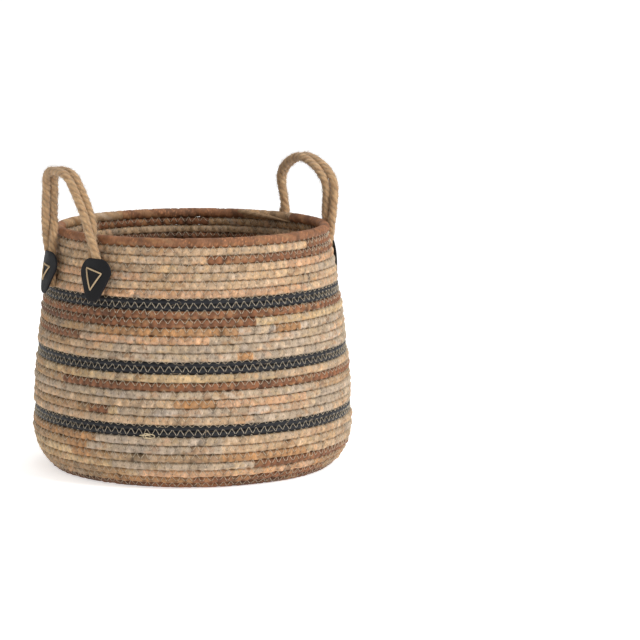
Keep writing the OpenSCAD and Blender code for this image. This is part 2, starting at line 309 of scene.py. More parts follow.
class Course:
    """One turn of husk-wrapped rope: where it lies, its section, its folds, dents and colours."""

    WRAP, FLECK = 10.2, 8.0  # mean lengths of a wrap and of a fleck, in mm
    FOLD, TUCK, LUMPS, FINE, PUFF, DENT = 0.75, 0.35, 0.36, 0.24, 0.5, 1.05  # heights in mm
    MIXED_IN = ((0.0, 0.07, "orange"), (0.07, 0.17, "beige"), (0.17, 0.25, "peach"), (0.25, 0.31, "yellow"))

    def __init__(self, key, r, z, d, out, up, square_off, black, foot_seam=None, peak_seam=None):
        rng = np.random.default_rng(key)
        self.key, self.r, self.z, self.d, self.out, self.up = key, r, z, d, out, up
        self.square_off, self.black = square_off, black
        self.foot_seam, self.peak_seam = foot_seam, peak_seam
        self.length = TAU * r
        self.lumps = waves(rng, 14, 9, 90)
        self.fine = waves(rng, 24, 90, 300, 4)
        self.sway = waves(rng, 6, 2, 11, 0)
        wraps = rng.uniform(6, 15, int(self.length / self.WRAP))
        self.edges = np.cumsum(wraps) / wraps.sum() * self.length
        self.lift = rng.uniform(0.15, 1.0, len(wraps))
        self.shade = rng.normal(0, 1, (len(wraps), 3))
        self.swap = rng.uniform(0, 1, len(wraps))
        self.slant = rng.uniform(0.25, 0.75)
        self.sliver_light = 0.12 if black else 0.4
        if key == WALL_KEY + RIM:
            self.slant, self.sliver_light = 1.3, 1.0
            self.lift *= 1.7
        flecks = rng.uniform(3, 13, int(self.length / self.FLECK))
        self.fleck_edges = np.cumsum(flecks) / flecks.sum() * self.length
        self.fleck_shade = rng.normal(0, 1, (len(flecks), 3)) * (rng.uniform(size=(len(flecks), 1)) < 0.7)

    def wrap(self, u, v):
        """Which wrap of husk a point is on, and how far along it."""
        s = (u % TAU) / TAU * self.length + self.slant * self.d / 2 * (v + 0.3 * np.sin(2 * v))
        s = s % self.length
        which = np.minimum(np.searchsorted(self.edges, s), len(self.edges) - 1)
        low = np.where(which > 0, self.edges[which - 1], 0)
        return which, (s - low) / (self.edges[which] - low)

    def holes(self, u, y):
        """Depth (0 to 1) of the dents of the stitches; y is the height on the course, 0 at its middle."""
        depth = np.zeros(np.broadcast(u, y).shape)
        for seam, feet in ((self.foot_seam, True), (self.peak_seam, False)):
            if seam is None:
                continue
            off, which = nearest(seam.feet if feet else seam.peaks, u % TAU)
            if feet:
                at = self.d / 2 - seam.foot_drop[which]
            else:
                at = -self.d / 2 + seam.peak_rise[which]
            far = np.hypot(off * self.r / 1.25, (y - at) / 1.15)
            depth = np.maximum(depth, np.exp(-far ** 2) * (1 if feet else 0.6))
        return depth

    def pinch(self, u):
        """1 where the feet of the stitches pull the rope in, -1 halfway between them."""
        if self.foot_seam is None or self.black:
            return np.zeros(np.shape(u))
        off, _ = nearest(self.foot_seam.feet, u % TAU)
        return np.cos(np.clip(np.abs(off) / self.foot_seam.step, 0, 0.5) * TAU)

    def height(self, u, v):
        """How far the surface stands above the plain section, in mm, and the dents' depth."""
        y = self.d / 2 * np.sin(v)
        which, along = self.wrap(u, v)
        share = 0.45 if self.black else 1.0
        edge, tuck = self.FOLD * np.exp(-along * 5), self.TUCK * np.exp(-(1 - along) * 9)
        rough = self.lift[which] * (edge - tuck) + self.LUMPS * self.lumps(u, v)
        rough = rough + self.FINE * self.fine(u, v)
        dent = self.holes(u, y)
        rise = share * rough - self.PUFF * self.pinch(u) * np.abs(np.cos(v))
        return rise - self.DENT * dent * (0.6 if self.black else 1), dent

    def point(self, u, v, extra=0.0, flat_floor=False):
        """Place of a surface point, raised by extra."""
        p = self.square_off
        c, s = np.cos(v), np.sin(v)
        a = self.d / 2 * np.sign(c) * np.abs(c) ** (2 / p)
        b = self.d / 2 * 1.01 * np.sign(s) * np.abs(s) ** (2 / p)
        rise, dent = self.height(u, v)
        norm = np.hypot(a, b)
        a, b = a * (1 + (rise + extra) / norm), b * (1 + (np.minimum(rise, 0) + extra) / norm)
        drift = 0.35 * self.sway(u, 0)
        radius = self.r + a * self.out[0] + b * self.up[0] + drift
        height = self.z + a * self.out[1] + b * self.up[1]
        if flat_floor:
            height = np.maximum(height, 0.15)
        return np.stack([radius * np.cos(u), radius * np.sin(u), height], -1), dent

    def tone(self, u, v, names):
        """Husk colour of each point, with painted shade where the feet of the stitches pull the rope in."""
        which, along = self.wrap(u, v)
        palette = np.array(list(HUSK.values()))
        keys = list(HUSK)
        names = np.broadcast_to(names, which.shape)
        colour = palette[names]
        light = np.isin(names, [keys.index(k) for k in ("straw", "peach", "beige", "yellow", "tan")])
        if not self.black:
            swap = self.swap[which]
            for low, high, key in self.MIXED_IN:
                pick = light & (swap > low) & (swap < high)
                colour = np.where(pick[..., None], 0.45 * colour + 0.55 * palette[keys.index(key)], colour)
            dark = ~light & (swap < 0.14)
            colour = np.where(dark[..., None], 0.55 * colour + 0.45 * palette[keys.index("orange")], colour)
        shade = self.shade[which]
        s = ((u % TAU) / TAU * self.length - 2.2 * np.sin(v)) % self.length
        at = np.minimum(np.searchsorted(self.fleck_edges, s), len(self.fleck_edges) - 1)
        fleck = self.fleck_shade[at]
        by_wrap, by_fleck, by_warmth = (0.05, 0.06, 0.0) if self.black else (0.1, 0.13, 0.03)
        bright = 1 + by_wrap * shade[..., :1] + 0.05 * self.lumps(u, v)[..., None]
        bright = bright + by_fleck * fleck[..., :1]
        sliver = (np.abs(along - 0.07) < 0.07) & (self.swap[which] > 0.6)
        bright = bright + self.sliver_light * sliver[..., None]
        # Painted shade where the feet of the stitches pull the rope in, and a little painted light on the
        # puffs between them.
        bright = bright - (np.where(light, 0.04, 0.16) * self.pinch(u))[..., None]
        warm = 1 + by_warmth * (shade[..., 1:2] + fleck[..., 1:2]) * np.array([0.6, 0, -1.2])
        return np.clip(colour * bright * warm, 0.002, 0.95)


def build_rope(name, courses, around, sides, body="basket", replaces=(), flat_floor=False):
    """One mesh for neighbouring turns of rope."""
    points, faces, uvs, tones, dents, start = [], [], [], [], [], 0
    v = round_section(sides)
    for course, names in courses:
        n = max(24, round(around * course.r / 216))
        u = np.arange(n) * TAU / n
        uu, vv = np.meshgrid(u, v, indexing="ij")
        place, dent = course.point(uu, vv, flat_floor=flat_floor)
        points.append(place.reshape(-1, 3))
        colours = names(uu) if callable(names) else names
        tones.append(course.tone(uu, vv, colours).reshape(-1, 3))
        dents.append(dent.ravel())
        faces.append(grid_faces(n, sides, True, start))
        row, column = grid_corners(n, sides, True)
        along = row / n * course.length + 37.0 * (course.key % 97)
        across = column / sides * math.pi * course.d + 53.0 * (course.key % 89)
        uvs.append(np.stack([along, across], -1).reshape(-1, 2))
        start += n * sides
    ob = mesh_from(name, np.concatenate(points), [np.concatenate(faces)])
    # The alpha carries the depth of the stitches' dents, which the husk material turns into painted shade.
    tone = np.concatenate([np.concatenate(tones), np.concatenate(dents)[:, None]], 1)
    set_colour(ob.data, tone)
    set_uv(ob.data, np.concatenate(uvs))
    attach(ob, body)
    if replaces:
        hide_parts(*replaces)
    return ob


# ---------------------------------------------------------------- materials
def new_material(name):
    material = bpy.data.materials.new(name)
    material.use_nodes = True
    tree = material.node_tree
    return material, tree, tree.nodes["Principled BSDF"]


class Nodes:
    """Short hand for building a node tree."""

    def __init__(self, tree):
        self.tree = tree

    def fill(self, node, inputs):
        """Set inputs of a node, by name or number, to plain values or to the outputs of other nodes."""
        for key, value in inputs.items():
            if isinstance(value, (int, float, tuple)):
                node.inputs[key].default_value = value
            else:
                self.tree.links.new(value, node.inputs[key])

    def add(self, kind, inputs, **settings):
        node = self.tree.nodes.new(kind)
        for key, value in settings.items():
            setattr(node, key, value)
        self.fill(node, inputs)
        return node

    def math(self, operation, a, b):
        return self.add("ShaderNodeMath", {0: a, 1: b}, operation=operation).outputs[0]

    def ranged(self, value, from_low, from_high, to_low, to_high):
        inputs = {0: value, 1: from_low, 2: from_high, 3: to_low, 4: to_high}
        return self.add("ShaderNodeMapRange", inputs).outputs[0]

    def mix(self, mode, factor, a, b):
        inputs = {0: factor, 6: a, 7: b}
        return self.add("ShaderNodeMix", inputs, data_type="RGBA", blend_type=mode).outputs[2]

    def coordinates(self, scale, turn=0.0):
        source = self.add("ShaderNodeUVMap", {}, uv_map="rope").outputs[0]
        inputs = {0: source, "Scale": scale, "Rotation": (0, 0, turn)}
        return self.add("ShaderNodeMapping", inputs).outputs[0]

    def noise(self, vector, scale, detail=3.0, roughness=0.55):
        inputs = {"Vector": vector, "Scale": scale, "Detail": detail, "Roughness": roughness}
        return self.add("ShaderNodeTexNoise", inputs).outputs[0]

    def grey(self, shade):
        return self.add("ShaderNodeCombineColor", {0: shade, 1: shade, 2: shade}).outputs[0]

    def bump(self, height, distance, strength=1.0):
        inputs = {"Height": height, "Distance": distance, "Strength": strength}
        return self.add("ShaderNodeBump", inputs).outputs[0]


def husk_material(name, fibre, gloss, grain, shine):
    """Dried husk: the vertex tone, fibres across the rope, speckles, painted shade in the needle holes and a
    dull sheen.
    """
    material, tree, shader = new_material(name)
    n = Nodes(tree)
    tone = n.add("ShaderNodeVertexColor", {}, layer_name="tone")
    slanted = n.coordinates((900, 230, 1), turn=math.radians(24))
    fibres = n.noise(slanted, 1.0, 4.0, 0.6)
    blotches = n.noise(n.coordinates((150, 150, 1)), 1.0, 3.0, 0.6)
    speckle = n.noise(n.coordinates((1200, 1200, 1)), 1.0, 2.0, 0.5)
    by_fibre = n.ranged(fibres, 0.3, 0.7, 1 - fibre, 1 + fibre)
    by_blotch = n.ranged(blotches, 0.3, 0.7, 1 - grain, 1 + grain)
    shade = n.math("MULTIPLY", by_fibre, by_blotch)
    shade = n.math("MULTIPLY", shade, n.ranged(speckle, 0.62, 0.8, 1.0, 0.72))
    # Painted shade in the stitches' dents and needle holes, from the tone's alpha.
    holes = n.ranged(tone.outputs["Alpha"], 0.25, 0.95, 1.0, 0.3)
    shade = n.math("MULTIPLY", shade, holes)
    colour = n.mix("MULTIPLY", 1.0, tone.outputs["Color"], n.grey(shade))
    roughness = n.ranged(fibres, 0.3, 0.7, gloss, gloss + 0.22)
    relief = n.bump(n.math("ADD", fibres, n.math("MULTIPLY", speckle, 0.5)), 0.0007, 0.8)
    n.fill(shader, {"Base Color": colour, "Roughness": roughness, "Normal": relief})
    n.fill(shader, {"Specular IOR Level": shine})
    return material


def thread_material(name, colour, dark):
    """Twisted sewing thread."""
    material, tree, shader = new_material(name)
    n = Nodes(tree)
    place = n.add("ShaderNodeTexCoord", {}).outputs["Object"]
    coarse = n.noise(place, 160.0, 3.0)
    fine = n.noise(place, 2600.0, 2.0)
    shade = n.math("MULTIPLY", n.ranged(coarse, 0.3, 0.7, dark, 1.1), n.ranged(fine, 0.3, 0.7, 0.82, 1.12))
    colour = n.mix("MULTIPLY", 1.0, (*colour, 1.0), n.grey(shade))
    n.fill(shader, {"Base Color": colour, "Roughness": 0.75, "Normal": n.bump(fine, 0.0003)})
    return material


def jute_material(name):
    """Hairy jute: yarn lines along the strands, pale and brown fibres, and painted shade in the grooves
    between the strands.
    """
    material, tree, shader = new_material(name)
    n = Nodes(tree)
    tone = n.add("ShaderNodeVertexColor", {}, layer_name="tone")
    yarn = n.noise(n.coordinates((90, 1500, 1)), 1.0, 4.0, 0.65)
    patch = n.noise(n.coordinates((70, 120, 1)), 1.0, 3.0)
    shade = n.math("MULTIPLY", n.ranged(yarn, 0.28, 0.72, 0.62, 1.3), n.ranged(patch, 0.3, 0.7, 0.86, 1.12))
    # Painted shade in the grooves between the strands, from the tone's alpha.
    shade = n.math("MULTIPLY", shade, tone.outputs["Alpha"])
    colour = n.mix("MULTIPLY", 1.0, tone.outputs["Color"], n.grey(shade))
    n.fill(shader, {"Base Color": colour, "Roughness": 0.85, "Normal": n.bump(yarn, 0.0008)})
    n.fill(shader, {"Sheen Weight": 0.25, "Sheen Roughness": 0.5})
    return material


def leather_material(name):
    """Black leather with a fine pebble grain, rubbed a little paler in places."""
    material, tree, shader = new_material(name)
    n = Nodes(tree)
    place = n.add("ShaderNodeTexCoord", {}).outputs["Object"]
    pebble = n.add("ShaderNodeTexVoronoi", {"Vector": place, "Scale": 900.0}, feature="F1")
    rub = n.noise(place, 90.0, 4.0)
    specks = n.noise(place, 1500.0, 2.0)
    dust = n.math("MULTIPLY", n.ranged(rub, 0.5, 0.75, 0.0, 1.0), n.ranged(specks, 0.6, 0.75, 0.0, 1.0))
    colour = n.mix("MIX", dust, (0.006, 0.006, 0.007, 1), (0.06, 0.055, 0.05, 1))
    roughness = n.ranged(rub, 0.3, 0.7, 0.5, 0.68)
    relief = n.math("ADD", pebble.outputs["Distance"], n.math("MULTIPLY", rub, 0.6))
    relief = n.bump(relief, 0.00035, 0.6)
    n.fill(shader, {"Base Color": colour, "Roughness": roughness, "Normal": relief})
    n.fill(shader, {"Specular IOR Level": 0.2})
    return material


HUSK_MATERIAL = husk_material("dried_husk", 0.34, 0.55, 0.16, 0.35)
BLACK_MATERIAL = husk_material("black_husk", 0.34, 0.36, 0.14, 0.24)
THREAD_MATERIAL = thread_material("sewing_thread", (0.58, 0.49, 0.36), 0.75)
PATCH_THREAD_MATERIAL = thread_material("patch_thread", (0.52, 0.38, 0.22), 0.85)
JUTE_MATERIAL = jute_material("jute")
LEATHER_MATERIAL = leather_material("black_leather")


def paint(ob, material):
    ob.data.materials.clear()
    ob.data.materials.append(material)


# ---------------------------------------------------------------- wall and base ropes
def wall_course(n):
    low, high = max(0, n - 1), min(COUNT - 1, n + 1)
    up = np.array([RS[high] - RS[low], ZS[high] - ZS[low]])
    up /= np.linalg.norm(up)
    black = wall_ropes[n] == STRIPE
    return Course(
        WALL_KEY + n, RS[n], ZS[n], DS[n], (up[1], -up[0]), up,
        2.15 if black or n == RIM else 2.7, black,
        foot_seam=SEAMS[n] if n < RIM else None,
        peak_seam=SEAMS[n - 1] if n else None,
    )


COURSES = [wall_course(n) for n in range(COUNT)]
AROUND, SIDES = 900, 16


def build_wall():
    runs = [("lower_wall", "lower_wall_coil", 0, NATURAL_LOW)]
    start = NATURAL_LOW
    above = {"lower": "lower_middle_wall", "middle": "upper_middle_wall", "upper": "upper_wall"}
    for place, run in above.items():
        runs.append((f"{place}_black_stripe", f"{place}_black_stripe_coil", start, start + 2))
        runs.append((run, f"{run}_coil", start + 2, start + 2 + NATURAL_MID))
        start += 2 + NATURAL_MID
    runs.append(("rim", "rim_coil", RIM, RIM + 1))
    for name, node, first, last in runs:
        black = wall_ropes[first] == STRIPE
        groups = [range(first, last)]
        if last - first > 4:
            groups = [range(first, first + 3), range(first + 3, last)]
        for k, group in enumerate(groups):
            ob = build_rope(
                f"{name}_rope_{k + 1}", [(COURSES[n], partial(stretch_names, n)) for n in group],
                AROUND, SIDES, replaces=(node,), flat_floor=group[0] == 0,
            )
            paint(ob, BLACK_MATERIAL if black else HUSK_MATERIAL)


BASE_C = ROPE / 2 - 0.5
BASE_RINGS = [RS[0] - k * ROPE for k in range(1, int((RS[0] - ROPE * 0.6) / ROPE) + 1)]


def base_course(k, r, upper=None, lower=None):
    return Course(BASE_KEY + k, r, BASE_C, ROPE, (0.0, 1.0), np.array([-1.0, 0.0]), 2.5, False, upper, lower)


def stretches_between(cuts, picks, u):
    """Colour of each angle on a base ring whose colours change at the cuts."""
    return picks[np.searchsorted(cuts, u)]


def build_base():
    rng = np.random.default_rng(41)
    keys = list(HUSK)
    liked = ["straw", "tan", "beige", "peach", "yellow", "brown"]
    courses = []
    for k, r in enumerate(BASE_RINGS):
        cuts = np.sort(rng.uniform(0, TAU, 3))
        picks = rng.choice([keys.index(x) for x in liked], 4, p=[0.26, 0.22, 0.2, 0.16, 0.08, 0.08])
        courses.append((base_course(k, r), partial(stretches_between, cuts, picks)))
    half = len(courses) // 2
    for name, part in (("base_rope_outer", courses[:half]), ("base_rope_inner", courses[half:])):
        ob = build_rope(name, part, 760, 14, replaces=("base_coil",), flat_floor=True)
        paint(ob, HUSK_MATERIAL)
    # The start of the spiral: a short curl of rope that fills the middle.
    curl = Course(CURL_KEY, 3.4, BASE_C, 6.6, (0.0, 1.0), np.array([-1.0, 0.0]), 2.2, False)
    curl_names = np.array(keys.index("tan"))
    ob = build_rope("base_centre_curl", [(curl, curl_names)], AROUND, 12, flat_floor=True)
    paint(ob, HUSK_MATERIAL)


# ---------------------------------------------------------------- threads
def tubes(name, paths, radius, sides):
    """One mesh of many thin tubes along paths of one length: paths is (count, points, 3)."""
    paths = np.asarray(paths, float)
    count, n, _ = paths.shape
    step = np.gradient(paths, axis=1)
    step /= np.linalg.norm(step, axis=2, keepdims=True) + 1e-9
    mean = paths.mean(axis=1, keepdims=True)
    away = np.concatenate([mean[..., :2], np.full(mean[..., :1].shape, 1.0)], -1)
    side = np.cross(step, away + np.array([0.3, -0.2, 0.1]))
    side /= np.linalg.norm(side, axis=2, keepdims=True) + 1e-9
    other = np.cross(step, side)
    a = round_section(sides)
    radius = np.broadcast_to(np.asarray(radius, float), (count, n))[..., None, None]
    ring = (side[:, :, None] * np.cos(a)[:, None] + other[:, :, None] * np.sin(a)[:, None]) * radius
    points = (paths[:, :, None] + ring).reshape(-1, 3)
    starts = np.arange(count)[:, None] * n * sides
    quads = grid_faces(n, sides, False)[None] + starts[:, :, None]
    first, last = end_faces(n, sides)
    return mesh_from(name, points, [quads.reshape(-1, 4), first + starts, last + starts])


def zigzag(seam, lower, upper, face, lift):
    """Paths of one seam's zigzag legs on the outer (1) or the inner (-1) face."""
    up_d, low_d = upper.d, lower.d

    def surface(course, u, y, extra):
        s = np.clip(2 * y / (course.d * 1.01), -0.999, 0.999)
        v = np.arcsin(np.sign(s) * np.abs(s) ** (course.square_off / 2))
        if face < 0:
            v = math.pi - v
        return course.point(u, v, extra)[0]

    u_peak, u_foot = seam.peaks, seam.feet
    share = low_d / (low_d + up_d)
    middle = np.array([lower.r + (upper.r - lower.r) * share, lower.z + (upper.z - lower.z) * share])
    paths = []
    for flip in (False, True):
        foot = np.roll(u_foot, 1) if flip else u_foot
        foot = np.where(flip & (np.arange(seam.count) == 0), foot - TAU, foot)
        drop = np.roll(seam.foot_drop, 1) if flip else seam.foot_drop
        legs = []
        for share in (0.0, 0.16, 0.34, 0.6, 0.82, 1.0):
            y = seam.peak_rise * (1 - share) - drop * share
            u = u_peak * (1 - share) + foot * share
            extra = lift - (0.9 if share in (0.0, 1.0) else 0.0)
            on_upper = surface(upper, u, y - up_d / 2, extra)
            on_lower = surface(lower, u, y + low_d / 2, extra)
            p = np.where((y > 0)[:, None], on_upper, on_lower)
            # A tight thread spans the groove between the ropes instead of sinking in.
            out = np.array(lower.out) * face
            flat = np.hypot(p[:, 0], p[:, 1])
            stand = (flat - middle[0]) * out[0] + (p[:, 2] - middle[1]) * out[1]
            need = min(low_d, up_d) / 2 * 0.8 if 0.0 < share < 1.0 else -9.0
            push = np.maximum(0, need - stand)
            flat_new = flat + push * out[0]
            p[:, :2] = p[:, :2] * flat_new[:, None] / flat[:, None]
            p[:, 2] += push * out[1]
            legs.append(p)
        paths.append(np.stack(legs, 1))
    return np.concatenate(paths)


def build_threads():
    for face, node in ((1, "wall_outer_thread"), (-1, "wall_inner_thread")):
        for part, (first, last) in enumerate(((0, 8), (8, 16), (16, 24), (24, COUNT - 1))):
            paths = [zigzag(SEAMS[n], COURSES[n], COURSES[n + 1], face, 0.28) for n in range(first, last)]
            ob = tubes(f"{node}_{part + 1}", np.concatenate(paths), 0.35, 4)
            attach(ob, "basket")
            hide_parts(node)
            paint(ob, THREAD_MATERIAL)
    for face, node in ((1, "base_top_thread"), (-1, "base_bottom_thread")):
        paths = []
        for k in range(1, len(BASE_RINGS)):
            outer, inner = base_course(k - 1, BASE_RINGS[k - 1]), base_course(k, BASE_RINGS[k])
            seam = Seam(80 + k, (BASE_RINGS[k - 1] + BASE_RINGS[k]) / 2, ROPE, ROPE)
            paths.append(zigzag(seam, outer, inner, face, 0.28))
        points = np.concatenate(paths)
        points[..., 2] = np.maximum(points[..., 2], 0.45)
        ob = tubes(node + "_zigzag", points, 0.38, 4)
        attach(ob, "basket")
        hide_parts(node)
        paint(ob, THREAD_MATERIAL)


# ---------------------------------------------------------------- jute handles
CORD_STEP = 1.1  # distance between the points of a cord's path, in mm
LEG_LOW_Z = PATCH_Z - PATCH_H * 0.3
TWIST_LOW_Z = PATCH_Z + PATCH_H * 0.4
LEG_LOW_R = outer_r(LEG_LOW_Z) + CORD_R + 0.6
LEG_TOP_R = RIM_D / 2 + CORD_R + 5.3
LOOP_U, LOOP_V = LEG_TOP_R * math.cos(LEG_ANGLE), LEG_TOP_R * math.sin(LEG_ANGLE)
LOOPS = {
    "left": {"crown": 202.0, "swell": -8.6, "point": 0.65, "twist": math.radians(60), "fast": 2.5},
    "right": {"crown": 182.0, "swell": 19.0, "point": 0.9, "twist": math.radians(30), "fast": 0.5},
}


def leg_cord(m, side, z, loop):
    """A cord's place on a leg.

    m is 1 for the leg towards +v, and side is 1 for the cord away from the loop's middle.
    """
    share = (z - LEG_LOW_Z) / (HINGE_Z - LEG_LOW_Z)
    twist = loop["twist"] * max(0.0, (z - TWIST_LOW_Z) / (HINGE_Z - TWIST_LOW_Z))
    slant = share ** 1.5
    azimuth = m * LEG_ANGLE * slant + (m * PATCH_ANGLE + PATCH_TURN) * (1 - slant)
    r = LEG_LOW_R + (LEG_TOP_R - LEG_LOW_R) * share + side * PAIR * math.sin(twist)
    b = m * side * PAIR * math.cos(twist)
    c, s = math.cos(azimuth), math.sin(azimuth)
    return np.array([r * c - b * s, r * s + b * c, z])


def loop_mid(t, loop):
    c, s = math.cos(t), math.sin(t)
    side = -1 if c > 0 else 1
    return np.array([
        LOOP_U + (loop["crown"] - LOOP_U) * s ** 1.5,
        side * (LOOP_V + loop["swell"] * math.sin(2 * t) ** 2) * abs(c) ** loop["point"],
        HINGE_Z + LOOP_H * s,
    ])


def loop_cord(side, t, loop):
    edge = math.radians(0.5)
    a = loop_mid(max(edge, t - math.radians(2)), loop)
    b = loop_mid(min(math.pi - edge, t + math.radians(2)), loop)
    d = (b - a)[1:] / np.linalg.norm((b - a)[1:])
    turn = max(0.0, math.sin(t)) ** (1 / loop["fast"])
    twist = loop["twist"] + (math.pi / 2 - loop["twist"]) * turn
    c, s = math.cos(twist), math.sin(twist)
    return loop_mid(t, loop) + side * PAIR * np.array([s, -d[1] * c, d[0] * c])


def cord_path(which, side):
    """Smooth, evenly spaced path of one cord from under one patch to under the other."""
    loop = LOOPS[which]
    heights = np.linspace(LEG_LOW_Z, HINGE_Z - 2, 30)
    start, end = [np.array([leg_cord(m, side, z, loop) for z in heights]) for m in (-1, 1)]
    turns = np.linspace(math.radians(2), math.pi - math.radians(2), 120)
    top = np.array([loop_cord(side, t, loop) for t in turns])
    points = resample(np.concatenate([start, top, end[::-1]]), 2.0)
    for _ in range(10):
        points[1:-1] = 0.5 * points[1:-1] + 0.25 * (points[:-2] + points[2:])
    points = resample(points, CORD_STEP)
    if which == "left":
        points = points * np.array([-1, -1, 1])
    return points


def resample(points, spacing):
    """The same line with evenly spaced points."""
    gaps = np.linalg.norm(np.diff(points, axis=0), axis=1)
    s = np.concatenate([[0], np.cumsum(gaps)])
    n = max(4, int(s[-1] / spacing) + 1)
    at = np.linspace(0, s[-1], n)
    return np.stack([np.interp(at, s, points[:, k]) for k in range(3)], -1)


def carried_frames(points):
    """Tangent and two sideways directions that follow a path without spinning."""
    t = np.gradient(points, axis=0)
    t /= np.linalg.norm(t, axis=1, keepdims=True)
    side = np.zeros_like(t)
    first = np.cross(t[0], [1.0, 0.2, 0.1])
    side[0] = first / np.linalg.norm(first)
    for i in range(1, len(t)):
        s = side[i - 1] - t[i] * np.dot(side[i - 1], t[i])
        side[i] = s / np.linalg.norm(s)
    return t, side, np.cross(t, side)


def strand_relief(phase):
    """Outline of three strands laid together: 1 on a strand's back, 0 in the groove between two."""
    return np.abs(np.cos(1.5 * phase)) ** 0.75


def build_cord(name, which, side, seed):
    """One three-strand jute cord, and its path with the directions along it, for the hairs."""
    rng = np.random.default_rng(seed)
    points = cord_path(which, side)
    n, sides, lay = len(points), 42, 27.0
    t, a, b = carried_frames(points)
    s = np.arange(n) * CORD_STEP
    wobble = sum(rng.normal(0, 0.5) * np.sin(s / w + rng.uniform(0, TAU)) for w in (9, 14, 23)) * 0.22
    angle = round_section(sides)
    lay_phase = angle[None] + TAU * s[:, None] / lay
    relief = strand_relief(lay_phase)
    yarn = np.cos(15 * lay_phase)
    rough = np.zeros((n, sides))
    for _ in range(14):
        rough += np.sin(s[:, None] / rng.uniform(1.2, 5) + rng.integers(1, 9) * angle + rng.uniform(0, TAU))
    rough /= 4
    radius = CORD_R * (0.88 + 0.2 * relief) + 0.13 * yarn * relief + 0.13 * rough + wobble[:, None] * 0.4
    radius[0] *= 0.6
    radius[-1] *= 0.6
    place = skin(points, a, b, radius, angle).reshape(-1, 3)
    ob = mesh_from(name, place, [grid_faces(n, sides, False), end_faces(n, sides)])
    base = linear(205, 170, 126)
    brown = linear(168, 126, 86)
    streak = np.clip(0.5 + 0.28 * rough + 0.12 * yarn, 0, 1)[..., None]
    tone = brown * (1 - streak) + base * streak
    # Painted shade: darker in the grooves between the strands, carried as the tone's alpha.
    groove = np.clip(0.6 + 0.5 * relief, 0, 1)[..., None]
    set_colour(ob.data, np.concatenate([tone, groove], -1).reshape(-1, 4))
    row, column = grid_corners(n, sides, False)
    along = row * CORD_STEP + 400 * (seed % 7)
    across = column / sides * TAU * CORD_R + TAU * CORD_R * row * CORD_STEP / lay
    set_uv(ob.data, np.stack([along, across], -1).reshape(-1, 2))
    paint(ob, JUTE_MATERIAL)
    return ob, (points, t, a, b)


def hairs(name, frames, count, seed):
    """Loose jute fibres that stand off a cord."""
    rng = np.random.default_rng(seed)
    points, t, a, b = frames
    free = np.flatnonzero(points[:, 2] > PATCH_Z + PATCH_H / 2 + 6)
    at = rng.choice(free, count)
    angle = rng.uniform(0, TAU, count)
    out = a[at] * np.cos(angle)[:, None] + b[at] * np.sin(angle)[:, None]
    along = t[at] * rng.choice([-1, 1], count)[:, None]
    round_ = np.cross(along, out)
    length = rng.uniform(3, 9, count)
    lean = np.abs(rng.normal(0.25, 0.3, count))
    curl = rng.normal(0, 0.35, count)
    paths = []
    for q in np.linspace(0, 1, 4):
        rise = CORD_R * 0.93 + length * lean * q ** 1.4
        go = length * (0.85 * q)
        place = points[at] + out * rise[:, None] + along * go[:, None]
        paths.append(place + round_ * (length * curl * q * q)[:, None])
    paths = np.stack(paths, 1)
    radius = np.array([0.13, 0.12, 0.1, 0.05])[None] * np.ones((count, 1))
    return tubes(name, paths, radius, 3)


def build_handles():
    zone, hair_count = 30.0, 2400  # zone, in mm, is not used
    for which in ("left", "right"):
        for side, label in ((1, "outer"), (-1, "inner")):
            node = f"{which}_handle_{label}_cord"
            seed = 11 + 2 * (which == "left") + (side > 0)
            ob, frames = build_cord(f"{which}_{label}_jute_cord", which, side, seed)
            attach(ob, f"{which}_handle")
            ob.parent = None
            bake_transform(ob)
            legs = [f"{which}_{place}_leg_cords" for place in ("front", "back")]
            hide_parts(node, *legs)
            fuzz = hairs(f"{which}_{label}_jute_hairs", frames, hair_count, seed + 50)
            paint(fuzz, HAIR_MATERIAL)
            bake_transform(fuzz)


HAIR_MATERIAL = thread_material("jute_hairs", (0.55, 0.41, 0.26), 0.7)


# ---------------------------------------------------------------- patches
def patch_outline(points_per_arc):
    """Outline of a patch from the right shoulder round to the foot and back: x along the wall, y up it."""
    shoulder, foot = PATCH_W * 0.3, PATCH_W * 0.28
    sx, sy = PATCH_W / 2 - shoulder, PATCH_H / 2 - shoulder - PATCH_H * 0.05
    fy = -PATCH_H / 2 + foot
    length = math.hypot(sx, sy - fy)
    side = math.atan2(sy - fy, sx) - math.acos((foot - shoulder) / length)
    points = []
    for sign in (1, -1):
        arc = np.linspace(side, math.pi / 2, points_per_arc)
        arc = arc if sign > 0 else arc[::-1]
        x = sx + shoulder * np.cos(arc)
        dome = PATCH_H * 0.05 * np.maximum(0, np.sin(arc)) * (1 - (x * 2 / PATCH_W) ** 2)
        y = sy + shoulder * np.sin(arc) + dome
        points.append(np.stack([sign * x, y], -1))
    arc = np.linspace(math.pi - side, TAU + side, points_per_arc * 2)
    points.append(np.stack([foot * np.cos(arc), fy + foot * np.sin(arc)], -1))
    line = np.concatenate(points)
    closed = np.concatenate([line, line[:1]])
    return resample(np.column_stack([closed, np.zeros(len(closed))]), 1.6)[:-1, :2]


PATCH_LEAN = math.atan((outer_r(PATCH_Z - 20) - outer_r(PATCH_Z + 20)) / 40)


def patch_frame(left, front):
    """Turns points in a patch's own frame (x out of the wall, y along it, z up it) into the row's frame."""
    m = (-1 if left else 1) * (-1 if front else 1)
    turn = m * PATCH_ANGLE + PATCH_TURN + (math.pi if left else 0)
    c, s = math.cos(turn), math.sin(turn)
    cl, sl = math.cos(PATCH_LEAN), math.sin(PATCH_LEAN)

    def place(p):
        x, y, z = p[..., 0], p[..., 1], p[..., 2]
        u = outer_r(PATCH_Z) + x * cl - z * sl
        w = PATCH_Z + x * sl + z * cl
        return np.stack([u * c - y * s, u * s + y * c, w], -1)

    return place


def bent(y):
    """How far the patch drops back towards the wall, away from its middle."""
    return BEND_R - np.sqrt(BEND_R ** 2 - y ** 2)


